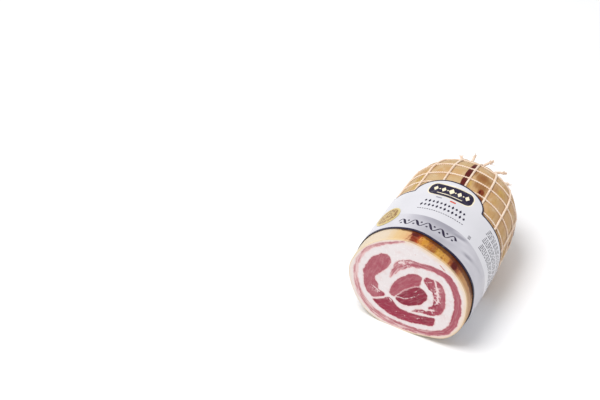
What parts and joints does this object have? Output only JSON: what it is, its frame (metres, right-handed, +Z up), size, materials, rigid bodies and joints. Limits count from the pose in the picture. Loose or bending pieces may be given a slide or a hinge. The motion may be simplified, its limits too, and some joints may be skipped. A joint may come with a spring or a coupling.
{
  "type": "pancetta",
  "caption": "Half of a rolled pancetta: flat cut end with a spiral of lean meat in white fat, rounded far end, string net over the rind and a film band with an arched tab.",
  "frame": {"origin": "middle of the footprint, on the surface that the roll lies on", "axes": "+Z up, +Y along the roll from the flat cut end to the rounded end, +X to the right as seen when facing the cut end"},
  "size_m": [0.1336, 0.1938, 0.1208],
  "materials": {
    "fat": "satin, moist on the cut",
    "lean_light": "satin, moist",
    "lean_dark": "satin, moist",
    "string": "matt twisted cotton",
    "film": "semi-gloss print",
    "foil": "soft metallic"
  },
  "bodies": {
    "root": {"roll_fat": "fat", "lean_spiral": "lean_light", "lean_left": "lean_light", "lean_bottom": "lean_dark", "lean_eye": "lean_light", "lean_core": "lean_dark", "lean_right": "lean_dark", "net": "string", "net_ends": "string", "band": "film", "seal": "foil"}
  },
  "joints": []
}
